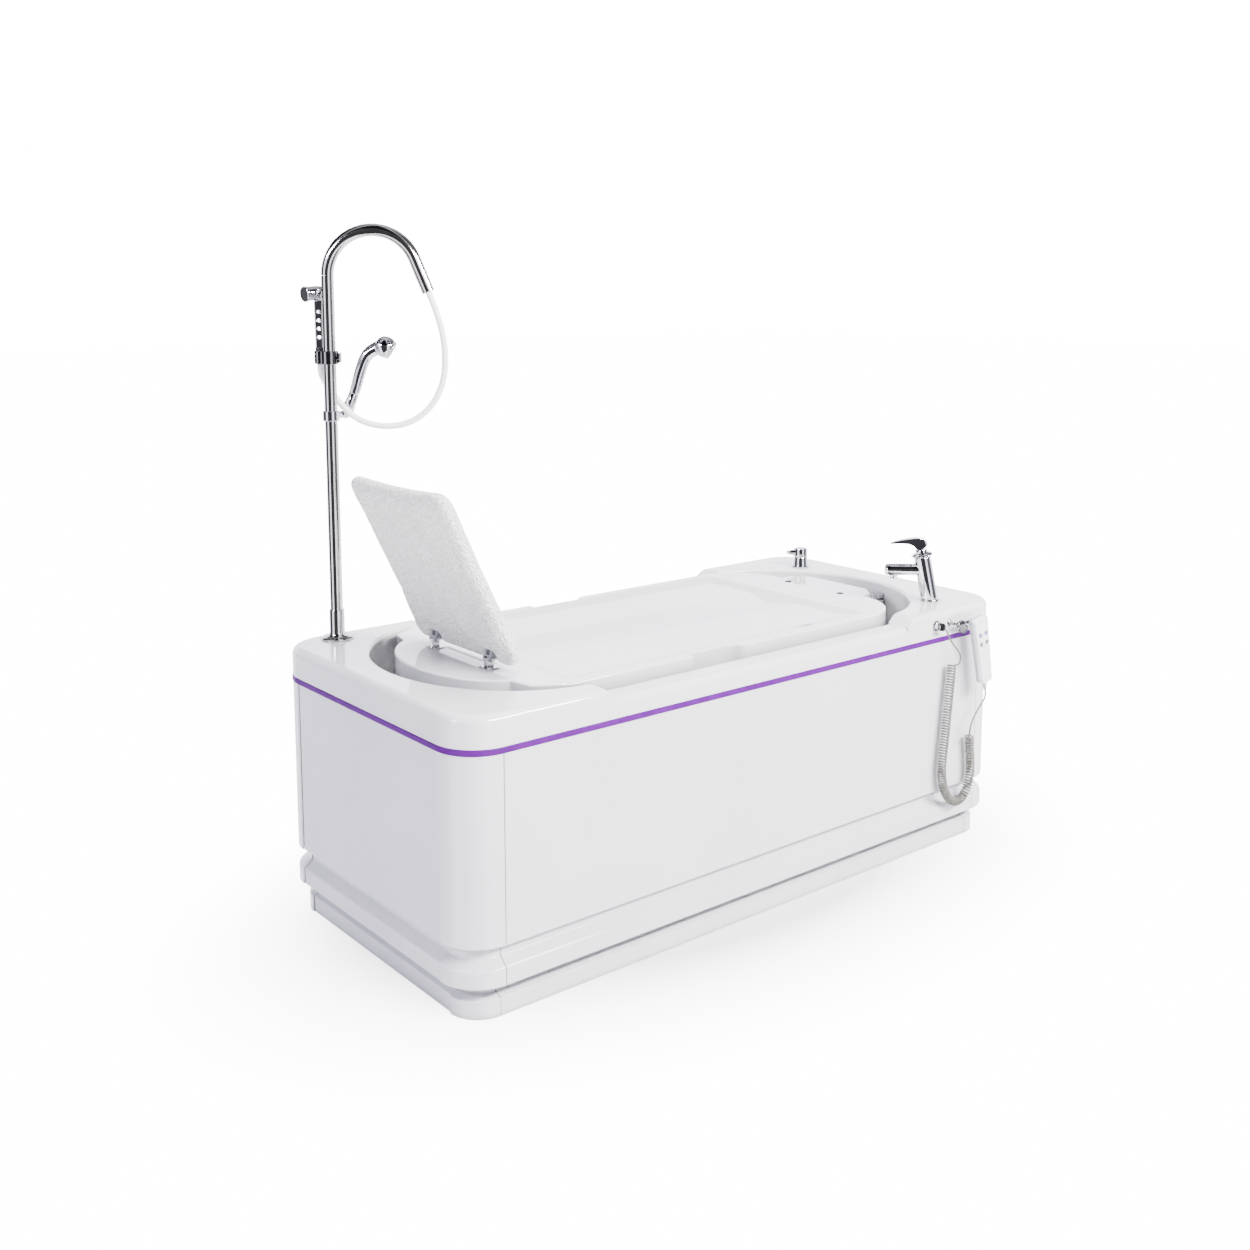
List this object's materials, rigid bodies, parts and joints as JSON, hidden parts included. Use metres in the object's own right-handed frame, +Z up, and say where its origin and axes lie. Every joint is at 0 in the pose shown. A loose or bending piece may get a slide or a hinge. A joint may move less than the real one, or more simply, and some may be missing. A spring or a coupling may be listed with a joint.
{
  "type": "height-adjustable assisted bath",
  "caption": "Height-adjustable assisted bath with telescoping skirts, lifting bathing platform, padded backrest, shower riser, mixer tap and corded hand control.",
  "frame": {"origin": "centre of the footprint on the floor, which is the middle of the sole of the central levelling foot", "axes": "+X towards the foot end with the taps, +Y towards the side with the shower riser's back, +Z up; the bath is at its lowest and its platform at its highest"},
  "size_m": [1.7624, 0.8855, 1.662],
  "materials": {
    "white_acrylic": "moulded, high gloss",
    "white_panel": "moulded panel, gloss",
    "violet_trim": "moulded strip, satin gloss",
    "frame_paint": "powder coated",
    "column_alloy": "anodised",
    "foot_rubber": "moulded",
    "grey_plastic": "moulded, matt",
    "brushed_steel": "brushed",
    "chrome": "polished",
    "terry_cloth": "looped terry towelling",
    "white_hose": "soft, satin",
    "dark_plastic": "moulded, matt",
    "pendant_white": "moulded, fine texture",
    "button_plastic": "soft keys",
    "cord_grey": "moulded sheath, matt"
  },
  "bodies": {
    "base": {"base_frame": "frame_paint", "levelling_feet": "foot_rubber", "control_box": "grey_plastic", "plinth_panels": "white_panel", "plinth_corners": "white_panel", "column_outer": "column_alloy"},
    "bath": {"bath_tub": "white_acrylic", "upper_panel_back": "white_panel", "upper_panel_head": "white_panel", "upper_panel_front": "white_panel", "upper_panel_foot": "white_panel", "upper_corner_foot_back": "white_panel", "upper_corner_head_back": "white_panel", "upper_corner_head_front": "white_panel", "upper_corner_foot_front": "white_panel", "bead_strip": "violet_trim", "tub_frame": "frame_paint", "column_inner": "column_alloy", "waste_outlet": "brushed_steel", "overflow_cover": "brushed_steel", "platform_guides": "brushed_steel", "riser_flange": "chrome", "shower_riser": "chrome", "riser_collar": "chrome", "hand_spray": "chrome", "arm_stub": "chrome", "diverter_body": "chrome", "mixer_body": "chrome", "pendant_socket": "chrome", "pendant_hook": "chrome", "spray_hose": "white_hose", "pendant_plug": "dark_plastic", "pendant_case": "pendant_white", "pendant_relief": "cord_grey", "cord_lead_in": "cord_grey", "cord_coil": "cord_grey", "cord_lead_out": "cord_grey"},
    "mid_tier": {"mid_frame": "column_alloy", "mid_corners": "white_panel", "column_middle": "column_alloy", "mid_panel_back": "white_panel", "mid_panel_head": "white_panel", "mid_panel_front": "white_panel", "mid_panel_foot": "white_panel"},
    "platform": {"platform": "white_acrylic", "platform_carriages": "grey_plastic", "backrest_brackets": "chrome", "backrest_pins": "brushed_steel"},
    "backrest": {"backrest_board": "grey_plastic", "backrest_pad": "terry_cloth"},
    "swivel_arm": {"arm_union": "chrome", "shower_arm": "chrome"},
    "trigger": {"spray_trigger": "chrome"},
    "mixer_swivel": {"mixer_cap": "chrome"},
    "mixer_lever": {"mixer_lever": "chrome"},
    "diverter": {"diverter_handle": "chrome"},
    "button_up": {"pendant_button_up": "button_plastic"},
    "button_down": {"pendant_button_down": "button_plastic"},
    "button_fill": {"pendant_button_fill": "button_plastic"},
    "button_drain": {"pendant_button_drain": "button_plastic"}
  },
  "joints": [
    {"name": "bath_lift", "type": "slide", "parent": "base", "child": "bath", "axis": [0, 0, 1], "range_m": [0, 0.3]},
    {"name": "mid_tier_lift", "type": "slide", "parent": "base", "child": "mid_tier", "axis": [0, 0, 1], "range_m": [0, 0.15]},
    {"name": "platform_lift", "type": "slide", "parent": "bath", "child": "platform", "axis": [0, 0, 1], "range_m": [-0.26, 0]},
    {"name": "backrest_tilt", "type": "hinge", "parent": "platform", "child": "backrest", "pos_m": [-0.618, 0, 0.686], "axis": [0, -1, 0], "range_deg": [-26, 39]},
    {"name": "shower_arm_swivel", "type": "hinge", "parent": "bath", "child": "swivel_arm", "pos_m": [-0.70179, 0.36841, 1.208], "axis": [0.3079, -0.2406, 0.9205], "range_deg": [-60, 60]},
    {"name": "spray_trigger_squeeze", "type": "hinge", "parent": "bath", "child": "trigger", "pos_m": [-0.75446, 0.38546, 1.471], "axis": [-0.788, 0.6157, 0], "range_deg": [0, 9], "stiffness_Nm_per_rad": 0.6, "springref_deg": -6.88},
    {"name": "mixer_turn", "type": "hinge", "parent": "bath", "child": "mixer_swivel", "pos_m": [0.7, -0.305, 0.662], "axis": [-0.1462, 0.1227, 0.9816], "range_deg": [-45, 45]},
    {"name": "mixer_lever_lift", "type": "hinge", "parent": "mixer_swivel", "child": "mixer_lever", "pos_m": [0.67701, -0.28571, 0.81641], "axis": [0.6428, 0.766, 0], "range_deg": [0, 25]},
    {"name": "diverter_turn", "type": "hinge", "parent": "bath", "child": "diverter", "pos_m": [0.757, 0.235, 0.7], "axis": [0, 0, 1], "range_deg": [-45, 45]},
    {"name": "press_up", "type": "slide", "parent": "bath", "child": "button_up", "axis": [0, 1, 0], "range_m": [0, 0.0015], "stiffness_N_per_m": 500, "springref_m": -0.0006},
    {"name": "press_down", "type": "slide", "parent": "bath", "child": "button_down", "axis": [0, 1, 0], "range_m": [0, 0.0015], "stiffness_N_per_m": 500, "springref_m": -0.0006},
    {"name": "press_fill", "type": "slide", "parent": "bath", "child": "button_fill", "axis": [0, 1, 0], "range_m": [0, 0.0015], "stiffness_N_per_m": 500, "springref_m": -0.0006},
    {"name": "press_drain", "type": "slide", "parent": "bath", "child": "button_drain", "axis": [0, 1, 0], "range_m": [0, 0.0015], "stiffness_N_per_m": 500, "springref_m": -0.0006}
  ],
  "couplings": [
    {"joint": "mid_tier_lift", "follows": "bath_lift", "ratio": 0.5}
  ]
}
